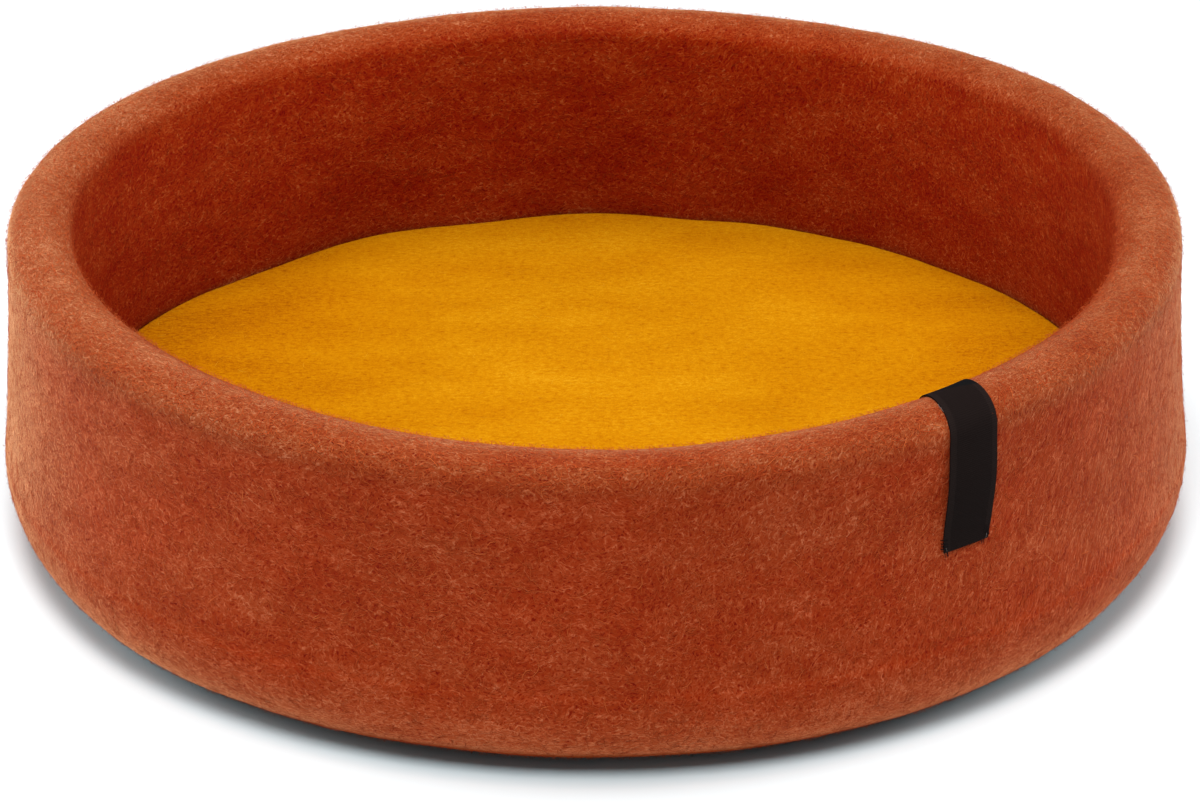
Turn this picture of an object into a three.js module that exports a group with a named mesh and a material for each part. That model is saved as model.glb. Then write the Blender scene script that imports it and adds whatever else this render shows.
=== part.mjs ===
// A round felt dog basket: a thick-walled felt bowl, a loose felt mat on its floor and a woven
// label folded over its rim. Millimetres, +Z up, the floor at z = 0 under the bowl's centre.
// The front is at -Y. Angles are in degrees, from +X towards +Y.
import * as THREE from "three";
import { mergeVertices } from "three/addons/utils/BufferGeometryUtils.js";

// Sizes of the bowl
const bellyRadius = 277; // outer face low down, where it is widest
const neckRadius = 269.5; // outer face just under the rim
const rimHeight = 150;
const rimWidth = 29; // thickness of the wall at the rim
const rimCrown = 11; // height of the rim's rounded top
const wallWaist = 1.1; // how far the outer face draws in between belly and neck
const hemRounding = 39; // rounding from the outer face to the base
const hemEndAngle = 7; // where that rounding meets the leaning outer face
const floorThickness = 22;
const footGap = 2; // between the mat's edge and the inner face
const footFillet = 3; // in the corner between inner face and floor
const footReach = 90; // height up to which the inner face follows the mat's outline
const innerBendHeight = 100; // above this the inner face stands nearly upright

// Sizes of the mat
const matRadius = 255.3;
const matThickness = 10;
const matBottomRounding = 3;
const matTopRounding = 3;
const restGap = 0.3; // between the mat and the floor it lies on

// Sizes of the label
const labelWidth = 25;
const labelLength = 141; // the whole ribbon, half of it on each side of the rim
const labelThickness = 1;
const labelAngle = -55.07; // of the ribbon's middle line, where it is halfway down outside
const labelLean = 0.107; // sideways run of that line for its rise there
const labelBow = 0.0017; // how fast the lean grows towards the rim, per mm
const labelGap = 0.9; // between the ribbon and the felt over the rim and at both ends
const labelBulge = 2.4; // how much further the ribbon stands off the wall outside
const labelTightLength = 12; // outside of the rim's crest, before that bulge starts

// How finely the rounds are cut
const turnSteps = 90;
const hemSteps = 7;
const wallSteps = 5;
const rimSteps = 10;
const filletSteps = 2;
const spokeRadius = 130; // of an extra ring in the base, the floor and the mat
const labelStepsAcross = 4;
const labelStepsAlong = 40;

// Slow waves of the hand-felted outline: lobes round the bowl, height in mm, angle of one crest
const bellyWaves = [
  { lobes: 2, size: 0.5, crest: 23 },
  { lobes: 3, size: 0.8, crest: -49 },
  { lobes: 4, size: 0.6, crest: 40 },
  { lobes: 5, size: 0.4, crest: 24 },
  { lobes: 6, size: 0.65, crest: -17 },
];
const neckWaves = [
  { lobes: 2, size: 0.6, crest: -25 },
  { lobes: 3, size: 1.0, crest: 31 },
  { lobes: 5, size: 0.3, crest: 23 },
  { lobes: 6, size: 0.3, crest: -24 },
];
const rimHeightWaves = [
  { lobes: 1, size: 0.65, crest: -134 },
  { lobes: 2, size: 2.3, crest: 7 },
  { lobes: 4, size: 0.3, crest: 30 },
  { lobes: 5, size: 0.4, crest: 21 },
];
const wallThicknessWaves = [
  { lobes: 1, size: 1.8, crest: -80 },
  { lobes: 2, size: 0.5, crest: 53 },
  { lobes: 3, size: 0.8, crest: -25 },
];

// Short bulges and dents of the mat's edge, which the foot of the inner face follows: the angle of
// the middle, how far it stands out in mm, and the half width in degrees
const footBulges = [
  { at: 46, out: -2.3, half: 6 },
  { at: 71, out: 1.2, half: 5 },
  { at: 79, out: -2.2, half: 5 },
  { at: 90, out: 2.2, half: 7 },
  { at: 104, out: -2.5, half: 7 },
  { at: 118, out: 3.2, half: 8 },
  { at: 132, out: -1.4, half: 8 },
  { at: 146, out: 1.5, half: 10 },
  { at: 196, out: 1.8, half: 12 },
  { at: 228, out: -1.6, half: 12 },
  { at: 262, out: 1.2, half: 10 },
  { at: 297, out: -1.8, half: 11 },
  { at: 335, out: 1.5, half: 12 },
];

const radians = THREE.MathUtils.degToRad;
const mix = THREE.MathUtils.lerp;
const clamp = THREE.MathUtils.clamp;
const neckHeight = rimHeight - rimCrown;
const baseRadius = bellyRadius - hemRounding;
const rimInnerRadius = neckRadius - rimWidth;
const matBottom = floorThickness + restGap;
const matTop = matBottom + matThickness;
const footRadius = matRadius + footGap;

function waves(table, turn) {
  let sum = 0;
  for (const wave of table) sum += wave.size * Math.cos(wave.lobes * (turn - radians(wave.crest)));
  return sum;
}

// Each bulge is a raised cosine that fades to nothing at twice its half width
function footOutline(turn) {
  let sum = 0;
  for (const bulge of footBulges) {
    const away = turn - radians(bulge.at);
    const around = Math.abs(Math.atan2(Math.sin(away), Math.cos(away)));
    const share = Math.min(1, around / radians(2 * bulge.half));
    sum += (bulge.out * (1 + Math.cos(Math.PI * share))) / 2;
  }
  return sum;
}

// A ring of the round, even shape. inner goes from 0 on the outer face, across the rim, to 1 on
// the inner face.
function ring(radius, height, inner) {
  return { radius, height, inner };
}

function arcRings(centre, radii, fromDegrees, toDegrees, steps, inner) {
  const rings = [];
  for (let i = 0; i <= steps; i++) {
    const share = i / steps;
    const angle = radians(mix(fromDegrees, toDegrees, share));
    const radius = centre.x + radii.x * Math.cos(angle);
    const height = centre.y + radii.y * Math.sin(angle);
    rings.push(ring(radius, height, inner ?? (1 - Math.cos(angle)) / 2));
  }
  return rings;
}

// The rounding from the base up to the outer face
function hemRings() {
  const centre = new THREE.Vector2(baseRadius, hemRounding);
  const radii = new THREE.Vector2(hemRounding, hemRounding);
  return arcRings(centre, radii, -90, hemEndAngle, hemSteps, 0);
}

// The outer face leans in towards the rim and has a slight waist
function outerRings() {
  const rings = [];
  for (let i = 1; i < wallSteps; i++) {
    const share = i / wallSteps;
    const lean = mix(bellyRadius, neckRadius, share);
    rings.push(ring(lean - wallWaist * 4 * share * (1 - share), mix(hemRounding, neckHeight, share), 0));
  }
  return rings;
}

// The rounded top of the wall, half an ellipse from the outer face to the inner one
function rimRings() {
  const centre = new THREE.Vector2(neckRadius - rimWidth / 2, neckHeight);
  const radii = new THREE.Vector2(rimWidth / 2, rimCrown);
  return arcRings(centre, radii, 0, 180, rimSteps);
}

// The inner face stands upright under the rim and leans outwards towards its foot
function innerRings() {
  const top = new THREE.Vector2(rimInnerRadius, neckHeight);
  const bend = new THREE.Vector2(rimInnerRadius, innerBendHeight);
  const foot = new THREE.Vector2(footRadius, floorThickness + footFillet);
  const curve = new THREE.QuadraticBezierCurve(top, bend, foot);
  return curve.getPoints(wallSteps).slice(1, -1).map((point) => ring(point.x, point.y, 1));
}

function filletRings() {
  const centre = new THREE.Vector2(footRadius - footFillet, floorThickness + footFillet);
  const radii = new THREE.Vector2(footFillet, footFillet);
  return arcRings(centre, radii, 0, -90, filletSteps, 1);
}

// Where the felt really lies: the ring's radius and height at one angle
function felted(even, turn) {
  const up = clamp((even.height - hemRounding) / (neckHeight - hemRounding), 0, 1);
  const low = clamp((footReach - even.height) / (footReach - matTop), 0, 1);
  const outline = mix(waves(bellyWaves, turn), waves(neckWaves, turn), up);
  const thicker = waves(wallThicknessWaves, turn) * up * even.inner;
  const foot = even.inner === 1 ? footOutline(turn) * low : 0;
  const share = Math.min(1, even.radius / baseRadius);
  const radius = even.radius + (outline - thicker + foot) * share;
  return new THREE.Vector2(radius, even.height + waves(rimHeightWaves, turn) * up);
}

// A closed round solid: the profile is turned about the axis, then each point is moved to where
// the felt lies at its angle
function feltedSolid(rings) {
  const profile = rings.map((even) => new THREE.Vector2(even.radius, even.height));
  const geometry = new THREE.LatheGeometry(profile, turnSteps);
  geometry.rotateX(Math.PI / 2);
  const position = geometry.getAttribute("position");
  for (let i = 0; i < position.count; i++) {
    const turn = Math.atan2(position.getY(i), position.getX(i));
    const at = felted(rings[i % rings.length], turn);
    position.setXYZ(i, at.x * Math.cos(turn), at.x * Math.sin(turn), at.y);
  }
  return onlyPositions(geometry);
}

function onlyPositions(geometry) {
  geometry.deleteAttribute("normal");
  geometry.deleteAttribute("uv");
  const merged = mergeVertices(geometry, 1e-3);
  merged.computeVertexNormals();
  return merged;
}

const wallRings = [...hemRings().slice(-1), ...outerRings(), ...rimRings(), ...innerRings()];
const crestIndex = wallSteps + rimSteps / 2;

function basketGeometry() {
  return feltedSolid([
    ring(0, 0, 0),
    ring(spokeRadius, 0, 0),
    ...hemRings().slice(0, -1),
    ...wallRings,
    ...filletRings(),
    ring(spokeRadius, floorThickness, 1),
    ring(0, floorThickness, 1),
  ]);
}

function matGeometry() {
  const bevel = matTopRounding * (1 - Math.SQRT1_2);
  return feltedSolid([
    ring(0, matBottom, 1),
    ring(spokeRadius, matBottom, 1),
    ring(matRadius - matBottomRounding, matBottom, 1),
    ring(matRadius, matBottom + matBottomRounding, 1),
    ring(matRadius, matTop - matTopRounding, 1),
    ring(matRadius - bevel, matTop - bevel, 1),
    ring(matRadius - matTopRounding, matTop, 1),
    ring(spokeRadius, matTop, 1),
    ring(0, matTop, 1),
  ]);
}

// The line that the wall's surface follows at one angle, from the belly over the rim to the foot,
// and how far along it the rim's crest is
function wallLine(turn) {
  const curve = new THREE.SplineCurve(wallRings.map((even) => felted(even, turn)));
  const stepsPerRing = 8;
  const lengths = curve.getLengths((wallRings.length - 1) * stepsPerRing);
  return { curve, length: curve.getLength(), crest: lengths[crestIndex * stepsPerRing] };
}

// How far round the bowl the ribbon's middle line lies from where it is halfway down outside
function labelShift(along) {
  const rise = along + labelLength / 4;
  const bowed = Math.min(rise, labelLength / 4);
  return labelLean * rise + labelBow * bowed * (2 * rise - bowed);
}

// The gap under the ribbon: it lies close over the rim and inside, and bulges outside
function labelStandOff(along) {
  const free = labelLength / 2 - labelTightLength;
  const share = clamp((-along - labelTightLength) / free, 0, 1);
  return labelGap + labelBulge * Math.sin(Math.PI * share) ** 2;
}

// A flat ribbon bent over the rim: its length follows the wall's line, its width goes round the
// bowl, and it keeps a small gap to the felt
function labelGeometry() {
  const steps = [labelStepsAcross, labelStepsAlong, 1];
  const geometry = new THREE.BoxGeometry(labelWidth, labelLength, labelThickness, ...steps);
  const position = geometry.getAttribute("position");
  for (let i = 0; i < position.count; i++) {
    const along = position.getY(i);
    const turn = radians(labelAngle) + (position.getX(i) + labelShift(along)) / neckRadius;
    const line = wallLine(turn);
    const share = clamp((line.crest + along) / line.length, 0, 1);
    const place = line.curve.getPointAt(share);
    const tangent = line.curve.getTangentAt(share);
    const off = labelStandOff(along) + labelThickness / 2 + position.getZ(i);
    const radius = place.x + tangent.y * off;
    position.setXYZ(i, radius * Math.cos(turn), radius * Math.sin(turn), place.y - tangent.x * off);
  }
  return onlyPositions(geometry);
}

function piece(name, geometry, colour, roughness) {
  const material = new THREE.MeshStandardMaterial({ color: colour, roughness, metalness: 0 });
  const mesh = new THREE.Mesh(geometry, material);
  mesh.name = name;
  return mesh;
}

const dogBasket = new THREE.Group();
dogBasket.add(piece("basket", basketGeometry(), 0xa8441f, 0.95));
dogBasket.add(piece("mat", matGeometry(), 0xdf940c, 0.95));
dogBasket.add(piece("label", labelGeometry(), 0x1c1917, 0.8));

export default dogBasket;
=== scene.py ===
# A round felt dog basket with a loose felt mat and a plain woven label folded over its rim.
# Metres, +Z up, the floor at z = 0, the front at -Y. Turns are degrees from +X towards +Y.
import math

import bpy
import numpy as np
from mathutils import Matrix, Vector
from mathutils.bvhtree import BVHTree


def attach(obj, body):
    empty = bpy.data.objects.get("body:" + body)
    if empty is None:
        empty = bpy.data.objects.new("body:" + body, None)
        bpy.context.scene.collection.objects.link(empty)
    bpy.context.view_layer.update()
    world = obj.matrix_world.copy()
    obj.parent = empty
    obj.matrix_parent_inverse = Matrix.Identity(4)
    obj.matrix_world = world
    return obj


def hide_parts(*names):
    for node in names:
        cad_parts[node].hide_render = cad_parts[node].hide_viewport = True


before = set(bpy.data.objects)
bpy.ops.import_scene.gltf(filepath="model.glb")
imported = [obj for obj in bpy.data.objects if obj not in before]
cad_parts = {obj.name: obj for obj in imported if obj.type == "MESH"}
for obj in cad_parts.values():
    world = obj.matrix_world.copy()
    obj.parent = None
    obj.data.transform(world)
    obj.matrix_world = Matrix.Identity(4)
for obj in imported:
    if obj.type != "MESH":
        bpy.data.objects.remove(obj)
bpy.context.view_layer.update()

mm = 0.001


# Small helpers

def say(words):
    print("basket:", words, flush=True)


def startClean():
    if bpy.context.mode != "OBJECT":
        bpy.ops.object.mode_set(mode="OBJECT")
    bpy.ops.object.select_all(action="DESELECT")


def makeActive(piece):
    startClean()
    piece.select_set(True)
    bpy.context.view_layer.objects.active = piece


def newest(name):
    piece = bpy.context.active_object
    piece.name = name
    piece.data.name = name
    return piece


def applyModifier(piece, kind, **settings):
    makeActive(piece)
    modifier = piece.modifiers.new(kind.lower(), kind)
    for key, value in settings.items():
        setattr(modifier, key, value)
    bpy.ops.object.modifier_apply(modifier=modifier.name)


def smooth(piece):
    makeActive(piece)
    bpy.ops.object.shade_smooth()


def hexColour(code):
    parts = [int(code[i : i + 2], 16) / 255 for i in (0, 2, 4)]
    linear = [p / 12.92 if p <= 0.04045 else ((p + 0.055) / 1.055) ** 2.4 for p in parts]
    return (*linear, 1.0)


def addNode(tree, kind, inputs=None, **settings):
    made = tree.nodes.new(kind)
    for key, value in settings.items():
        setattr(made, key, value)
    for key, value in (inputs or {}).items():
        if isinstance(value, bpy.types.NodeSocket):
            tree.links.new(value, made.inputs[key])
        else:
            made.inputs[key].default_value = value
    return made


def addRamp(tree, value, stops):
    made = addNode(tree, "ShaderNodeValToRGB", {"Fac": value})
    elements = made.color_ramp.elements
    while len(elements) < len(stops):
        elements.new(0.5)
    for element, (position, code) in zip(elements, stops):
        element.position = position
        element.color = hexColour(code)
    return made.outputs["Color"]


def maths(tree, operation, *values, clamp=False):
    inputs = dict(enumerate(values))
    return addNode(tree, "ShaderNodeMath", inputs, operation=operation, use_clamp=clamp).outputs[0]


# Sockets 6 and 7 of the Mix node are its two colours, output 2 is theirs
def mixColours(tree, share, first, second):
    made = addNode(tree, "ShaderNodeMix", {0: share, 6: first, 7: second}, data_type="RGBA")
    return made.outputs[2]


# 0 up to the first limit, 1 from the second
def fade(tree, value, limits):
    rise = 1 / (limits[1] - limits[0])
    return maths(tree, "MULTIPLY_ADD", value, rise, -limits[0] * rise, clamp=True)


def newMaterial(name, look):
    material = bpy.data.materials.new(name)
    material.use_nodes = True
    tree = material.node_tree
    shader = tree.nodes["Principled BSDF"]
    shader.inputs["Roughness"].default_value = look["roughness"]
    shader.inputs["Specular IOR Level"].default_value = look["gloss"]
    return material, tree, shader


# Camera, lights and floor

photoView = {
    "place": (0.0, -1.7636, 0.9112),
    "pitch": 26.179,  # degrees below the horizon
    "yaw": 0.055,
    "roll": -0.433,
    "lens": 124.84,
    "sensor": 36.0,
}


def addCamera():
    data = bpy.data.cameras.new("camera")
    data.lens = photoView["lens"]
    data.sensor_width = photoView["sensor"]
    camera = bpy.data.objects.new("camera", data)
    bpy.context.scene.collection.objects.link(camera)
    turned = Matrix.Rotation(math.radians(-photoView["yaw"]), 4, "Z")
    tilted = Matrix.Rotation(math.radians(90 - photoView["pitch"]), 4, "X")
    rolled = Matrix.Rotation(math.radians(photoView["roll"]), 4, "Z")
    camera.matrix_world = Matrix.Translation(photoView["place"]) @ turned @ tilted @ rolled
    bpy.context.scene.camera = camera


studio = {
    "sky": 0.3,
    "skyColour": "FFFFFF",
    "floorColour": "CDD4D6",
    "paintedShadowFloorColour": "A8C4CC",  # painted shadow: darker and bluer under the hem, to deepen the contact shadow and cancel the red light that falls there from the felt
    "paintedShadowReach": (256 * mm, 274 * mm),
    "floorSize": 14.0,
    "roughness": 0.9,
    "gloss": 0.5,
    "aim": (0.0, 0.0, 60 * mm),
    "lamps": [  # name, place, size, watts
        ("overheadSoftbox", (0.0, 0.1, 2.4), 2.0, 44),
        ("frontSoftbox", (-0.1, -1.5, 2.6), 1.0, 83),
        ("leftStrip", (-2.0, 0.4, 0.8), 1.2, 37),
        ("rightStrip", (2.0, 0.4, 0.8), 1.0, 34),
    ],
}


def addLamp(name, place, size, watts):
    data = bpy.data.lights.new(name, "AREA")
    data.shape = "SQUARE"
    data.size = size
    data.energy = watts
    lamp = bpy.data.objects.new(name, data)
    bpy.context.scene.collection.objects.link(lamp)
    lamp.location = place
    towards = Vector(studio["aim"]) - Vector(place)
    lamp.rotation_euler = towards.to_track_quat("-Z", "Y").to_euler()


def addStudio():
    world = bpy.data.worlds.new("sky")
    bpy.context.scene.world = world
    world.use_nodes = True
    background = world.node_tree.nodes["Background"]
    background.inputs["Color"].default_value = hexColour(studio["skyColour"])
    background.inputs["Strength"].default_value = studio["sky"]
    for lamp in studio["lamps"]:
        addLamp(*lamp)
    startClean()
    bpy.ops.mesh.primitive_plane_add(size=studio["floorSize"], location=(0, 0, 0))
    floor = newest("floor")
    material, tree, shader = newMaterial("pale_floor", studio)
    place = addNode(tree, "ShaderNodeTexCoord").outputs["Object"]
    away = addNode(tree, "ShaderNodeVectorMath", {0: place}, operation="LENGTH").outputs["Value"]
    # Painted shadow on the floor: a darker, bluer ring under the hem that fades out between the two
    # reaches
    share = fade(tree, away, studio["paintedShadowReach"])
    nearer, farther = hexColour(studio["paintedShadowFloorColour"]), hexColour(studio["floorColour"])
    tree.links.new(mixColours(tree, share, nearer, farther), shader.inputs["Base Color"])
    floor.data.materials.append(material)
    bpy.context.scene.view_settings.view_transform = "Standard"


# Basket

basketSizes = {
    "bellyRadius": 277 * mm,
    "neckRadius": 269.5 * mm,
    "rimHeight": 150 * mm,
    "rimWidth": 29 * mm,
    "rimCrown": 11 * mm,
    "wallWaist": 1.1 * mm,
    "hemRounding": 39 * mm,
    "hemEndAngle": 7,
    "floorThickness": 22 * mm,
    "footRadius": 257.3 * mm,
    "footFillet": 3 * mm,
    "footReach": 90 * mm,  # how high the bulges of the foot show in the wall
    "innerBendHeight": 100 * mm,
    "matTop": 32.3 * mm,
    "turnSteps": 400,
    "wallStep": 2.8 * mm,
    "rimSteps": 18,
    "filletSteps": 3,
    "baseRings": (0, 0.15, 0.4, 0.65, 0.85),  # shares of the base's radius
    "floorRings": (0.95, 0.85, 0.6, 0.3, 0),
    "lumps": [(70 * mm, 1.3 * mm), (24 * mm, 0.35 * mm), (9 * mm, 0.2 * mm)],  # size, depth
}

# Slow waves of the hand-felted outline: lobes round the bowl, height in mm, turn of one crest
bellyWaves = [(2, 0.5, 23), (3, 0.8, -49), (4, 0.6, 40), (5, 0.4, 24), (6, 0.65, -17)]
neckWaves = [(2, 0.6, -25), (3, 1.0, 31), (5, 0.3, 23), (6, 0.3, -24)]
rimHeightWaves = [(1, 0.65, -134), (2, 2.3, 7), (4, 0.3, 30), (5, 0.4, 21)]
wallThicknessWaves = [(1, 1.8, -80), (2, 0.5, 53), (3, 0.8, -25)]

# Bulges and dents of the mat's edge and of the wall's foot: turn, how far out in mm, half width
footBulges = [
    (46, -2.3, 6), (71, 1.2, 5), (79, -2.2, 5), (90, 2.2, 7), (104, -2.5, 7), (118, 3.2, 8),
    (132, -1.4, 8), (146, 1.5, 10), (196, 1.8, 12), (228, -1.6, 12), (262, 1.2, 10),
    (297, -1.8, 11), (335, 1.5, 12),
]


def mix(a, b, share):
    return a + (b - a) * share


def clamp(value, low=0.0, high=1.0):
    return max(low, min(high, value))


def waves(table, turn):
    return sum(size * mm * math.cos(lobes * (turn - math.radians(crest))) for lobes, size, crest in table)


def footOutline(turn):
    total = 0.0
    for middle, out, half in footBulges:
        away = turn - math.radians(middle)
        around = abs(math.atan2(math.sin(away), math.cos(away)))
        total += out * mm * (1 + math.cos(math.pi * min(1.0, around / math.radians(2 * half)))) / 2
    return total


def arc(centre, radii, start, end, steps):
    points = []
    for i in range(steps + 1):
        angle = math.radians(mix(start, end, i / steps))
        points.append((centre[0] + radii[0] * math.cos(angle), centre[1] + radii[1] * math.sin(angle)))
    return points


# The upright part of the section as (radius, height), from the belly over the rim to the foot
def wallSection():
    s = basketSizes
    step = s["wallStep"]
    neckHeight = s["rimHeight"] - s["rimCrown"]
    outer = []
    outerSteps = round((neckHeight - s["hemRounding"]) / step)
    for i in range(2, outerSteps):  # the hem reaches over the first two
        share = i / outerSteps
        lean = mix(s["bellyRadius"], s["neckRadius"], share)
        waist = s["wallWaist"] * 4 * share * (1 - share)
        outer.append((lean - waist, mix(s["hemRounding"], neckHeight, share)))
    rimCentre = (s["neckRadius"] - s["rimWidth"] / 2, neckHeight)
    rim = arc(rimCentre, (s["rimWidth"] / 2, s["rimCrown"]), 0, 180, s["rimSteps"])
    inner = []
    top = s["neckRadius"] - s["rimWidth"]
    foot = s["floorThickness"] + s["footFillet"]
    innerSteps = round((neckHeight - foot) / step)
    for i in range(1, innerSteps):
        share = i / innerSteps
        radius = mix(top, mix(top, s["footRadius"], share), share)
        upper = mix(neckHeight, s["innerBendHeight"], share)
        lower = mix(s["innerBendHeight"], foot, share)
        inner.append((radius, mix(upper, lower, share)))
    return outer + rim + inner


# The whole section, from the middle of the base to the middle of the floor inside
def basketSection():
    s = basketSizes
    baseRadius = s["bellyRadius"] - s["hemRounding"]
    hemLength = math.radians(90 + s["hemEndAngle"]) * s["hemRounding"]
    hemSteps = round(hemLength / s["wallStep"])
    base = [(baseRadius * share, 0.0) for share in s["baseRings"]]
    hem = arc((baseRadius, s["hemRounding"]), (s["hemRounding"],) * 2, -90, s["hemEndAngle"], hemSteps)
    filletCentre = (s["footRadius"] - s["footFillet"], s["floorThickness"] + s["footFillet"])
    fillet = arc(filletCentre, (s["footFillet"],) * 2, 0, -90, s["filletSteps"])
    floor = [(s["footRadius"] * share, s["floorThickness"]) for share in s["floorRings"]]
    return base + hem + wallSection() + fillet + floor


# 0 on the outer face, 1 on the inner one, in between on the rim
def insideShare(radius, height):
    s = basketSizes
    neckHeight = s["rimHeight"] - s["rimCrown"]
    rimMiddle = s["neckRadius"] - s["rimWidth"] / 2
    if height > neckHeight:
        across = (radius - rimMiddle) / (s["rimWidth"] / 2)
        up = (height - neckHeight) / s["rimCrown"]
        return (1 - math.cos(math.atan2(up, across))) / 2
    wallMiddle = (s["bellyRadius"] + rimMiddle) / 2
    return 1.0 if radius < wallMiddle and height > s["floorThickness"] - 1 * mm else 0.0


# Where the felt really lies, for a point of the round, even shape
def felted(point):
    s = basketSizes
    turn = math.atan2(point.y, point.x)
    radius = math.hypot(point.x, point.y)
    inside = insideShare(radius, point.z)
    neckHeight = s["rimHeight"] - s["rimCrown"]
    up = clamp((point.z - s["hemRounding"]) / (neckHeight - s["hemRounding"]))
    low = clamp((s["footReach"] - point.z) / (s["footReach"] - s["matTop"]))
    outline = mix(waves(bellyWaves, turn), waves(neckWaves, turn), up)
    thicker = waves(wallThicknessWaves, turn) * up * inside
    foot = footOutline(turn) * low if inside == 1 else 0.0
    share = min(1.0, radius / (s["bellyRadius"] - s["hemRounding"]))
    moved = radius + (outline - thicker + foot) * share
    height = point.z + waves(rimHeightWaves, turn) * up
    return Vector((moved * math.cos(turn), moved * math.sin(turn), height))


# One point is drawn out along the section, and the line is screwed once round the axis. The points
# of the spin operator come in another order each time, and the fibres would change with them.
def turnSection(name, section, steps):
    startClean()
    bpy.ops.mesh.primitive_plane_add(size=0.01, location=(0, 0, 0))
    piece = newest(name)
    bpy.ops.object.mode_set(mode="EDIT")
    bpy.ops.mesh.select_all(action="SELECT")
    bpy.ops.mesh.merge(type="CENTER")
    for before, after in zip(section, section[1:]):
        step = (after[0] - before[0], 0, after[1] - before[1])
        bpy.ops.mesh.extrude_region_move(TRANSFORM_OT_translate={"value": step})
    bpy.ops.mesh.select_all(action="SELECT")
    bpy.ops.transform.translate(value=(section[0][0], 0, section[0][1]))
    bpy.ops.object.mode_set(mode="OBJECT")
    settings = {"steps": steps, "render_steps": steps, "use_merge_vertices": True}
    applyModifier(piece, "SCREW", angle=math.tau, merge_threshold=0.02 * mm, **settings)
    bpy.ops.object.mode_set(mode="EDIT")
    bpy.ops.mesh.select_all(action="SELECT")
    bpy.ops.mesh.normals_make_consistent(inside=False)
    bpy.ops.object.mode_set(mode="OBJECT")
    return piece


def addLumps(piece, name, lumps):
    for i, (size, depth) in enumerate(lumps):
        texture = bpy.data.textures.new(f"{name}{i}", "CLOUDS")
        texture.noise_scale = size
        texture.noise_depth = 1
        settings = {"texture": texture, "texture_coords": "LOCAL", "mid_level": 0.5}
        applyModifier(piece, "DISPLACE", strength=depth, **settings)


def keepOffFloor(piece, lowest):
    for vertex in piece.data.vertices:
        vertex.co.z = max(vertex.co.z, lowest)


def makeBasket():
    piece = turnSection("felt_basket", basketSection(), basketSizes["turnSteps"])
    for vertex in piece.data.vertices:
        vertex.co = felted(vertex.co)
    addLumps(piece, "basketLumps", basketSizes["lumps"])
    keepOffFloor(piece, 0.0)
    smooth(piece)
    return piece


# Mat

matSizes = {
    "radius": 255.3 * mm,
    "bottom": 22.3 * mm,
    "top": basketSizes["matTop"],
    "rounding": 3 * mm,
    "roundingSteps": (4, 5),  # below and above
    "bottomRings": (0, 0.3, 0.6, 0.8, 0.93),  # shares of the radius
    "topRings": (0.96, 0.93, 0.89, 0.85, 0.8, 0.74, 0.66, 0.56, 0.45, 0.33, 0.2, 0.08, 0),
    "slack": 0.1 * mm,
    "turnSteps": 240,
    "lumps": [(60 * mm, 0.5 * mm), (12 * mm, 0.35 * mm)],
}


def matSection():
    s = matSizes
    radius, edge = s["radius"], s["rounding"]
    below, above = s["roundingSteps"]
    bottom = [(radius * share, s["bottom"]) for share in s["bottomRings"]]
    lower = arc((radius - edge, s["bottom"] + edge), (edge, edge), -90, 0, below)
    upper = arc((radius - edge, s["top"] - edge), (edge, edge), 0, 90, above)
    top = [(radius * share, s["top"]) for share in s["topRings"]]
    return bottom + lower + upper + top


def makeMat():
    s = matSizes
    piece = turnSection("felt_mat", matSection(), s["turnSteps"])
    for vertex in piece.data.vertices:
        turn = math.atan2(vertex.co.y, vertex.co.x)
        radius = math.hypot(vertex.co.x, vertex.co.y)
        share = radius / s["radius"]
        moved = radius + (footOutline(turn) + waves(bellyWaves, turn)) * share**3
        vertex.co = (moved * math.cos(turn), moved * math.sin(turn), vertex.co.z)
    addLumps(piece, "matLumps", s["lumps"])
    keepOffFloor(piece, s["bottom"] - s["slack"])
    smooth(piece)
    return piece


# Label

labelSizes = {
    "width": 25 * mm,
    "length": 141 * mm,
    "thickness": 0.7 * mm,
    "middleTurn": math.radians(-55.07),  # of the middle line, where it is halfway down outside
    "lean": 0.107,  # sideways run of that line for its rise there
    "bow": 1.7,  # how fast the lean grows towards the rim, per metre
    "gap": 0.3 * mm,
    "bulge": 2.9 * mm,  # how much further the ribbon stands off the wall outside
    "tightLength": 12 * mm,
    "pulledIn": 1.7 * mm,  # the lower right corner, over the last cornerLength
    "cornerLength": 14 * mm,
    "columns": 20,
    "rows": 94,
    "sharpAngle": 50,
    "pressedAcross": (-16 * mm, 36 * mm),  # where it presses fibres flat, off the middle line
    "pressedAbove": 82 * mm,
}


# The line that the wall follows at one turn, from the belly over the rim to the foot
def wallLine(turn):
    places = []
    for radius, height in wallSection():
        moved = felted(Vector((radius * math.cos(turn), radius * math.sin(turn), height)))
        places.append((math.hypot(moved.x, moved.y), moved.z))
    places = np.array(places)
    lengths = np.append(0.0, np.cumsum(np.hypot(*np.diff(places, axis=0).T)))
    return {"turn": turn, "places": places, "lengths": lengths, "crest": lengths[places[:, 1].argmax()]}


# A point over the felt: along is counted from the rim's crest, less than 0 on the outside
def overWall(line, along, off):
    reach = 2.5 * mm
    spots = []
    for at in (along, along - reach, along + reach):
        length = line["crest"] + at
        spots.append([np.interp(length, line["lengths"], line["places"][:, k]) for k in (0, 1)])
    here, before, after = np.array(spots)
    tangent = (after - before) / np.linalg.norm(after - before)
    radius = here[0] + tangent[1] * off
    height = here[1] - tangent[0] * off
    return Vector((radius * math.cos(line["turn"]), radius * math.sin(line["turn"]), height))


# How far round the bowl a point of the ribbon lies
def labelTurn(across, along):
    s = labelSizes
    rise = along + s["length"] / 4
    bowed = min(rise, s["length"] / 4)
    shift = s["lean"] * rise + s["bow"] * bowed * (2 * rise - bowed)
    return s["middleTurn"] + (across + shift) / basketSizes["neckRadius"]


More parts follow.
